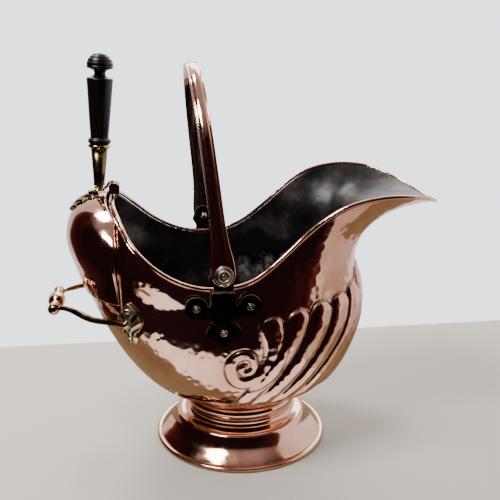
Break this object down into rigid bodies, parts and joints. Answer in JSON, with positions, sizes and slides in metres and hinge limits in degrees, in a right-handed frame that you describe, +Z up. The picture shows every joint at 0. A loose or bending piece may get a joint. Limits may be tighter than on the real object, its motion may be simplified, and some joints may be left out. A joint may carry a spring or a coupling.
{
  "type": "coal scuttle",
  "caption": "Copper helmet coal scuttle on a spun foot, with a swinging bail, a fixed rear handle and a hooded shovel that hangs on its back.",
  "frame": {"origin": "on the ground, under the middle of the foot and of the object's length", "axes": "+Z up, +X towards the spout, -Y the side that faces the viewer"},
  "size_m": [0.457, 0.2764, 0.463],
  "materials": {
    "copper": "polished",
    "dark_brass": "antique",
    "brass": "polished",
    "ebonised_wood": "satin",
    "steel": "brushed"
  },
  "bodies": {
    "scuttle": {"body_shell": "copper", "rim_bead": "copper", "foot_pedestal": "copper", "foot_rolled_edge": "copper", "lug_plate_near": "dark_brass", "lug_rivet_back_near": "dark_brass", "lug_rivet_front_near": "dark_brass", "lug_rivet_low_near": "dark_brass", "pivot_bolt_near": "dark_brass", "pivot_washer_near": "dark_brass", "pivot_nut_near": "brass", "lug_plate_far": "dark_brass", "lug_rivet_back_far": "dark_brass", "lug_rivet_front_far": "dark_brass", "lug_rivet_low_far": "dark_brass", "pivot_bolt_far": "dark_brass", "pivot_washer_far": "dark_brass", "pivot_nut_far": "brass", "shovel_keeper": "copper", "keeper_rivet_near": "copper", "keeper_rivet_far": "copper", "handle_grip": "brass", "handle_rod": "steel", "handle_arm_near": "brass", "handle_rivet_low_near": "dark_brass", "handle_rivet_high_near": "dark_brass", "handle_arm_far": "brass", "handle_rivet_low_far": "dark_brass", "handle_rivet_high_far": "dark_brass"},
    "bail": {"bail": "copper"},
    "shovel": {"shovel_blade": "copper", "shovel_ferrule": "brass", "shovel_collar": "brass", "shovel_handle": "ebonised_wood", "shovel_tang": "steel", "shovel_leaf_hook": "brass"}
  },
  "joints": [
    {"name": "bail_swing", "type": "hinge", "parent": "scuttle", "child": "bail", "pos_m": [-0.033, 0, 0.2495], "axis": [0, 1, 0], "range_deg": [-22, 65]},
    {"name": "shovel_lift", "type": "slide", "parent": "scuttle", "child": "shovel", "axis": [-0.4067, 0, 0.9135], "range_m": [0, 0.16]}
  ]
}
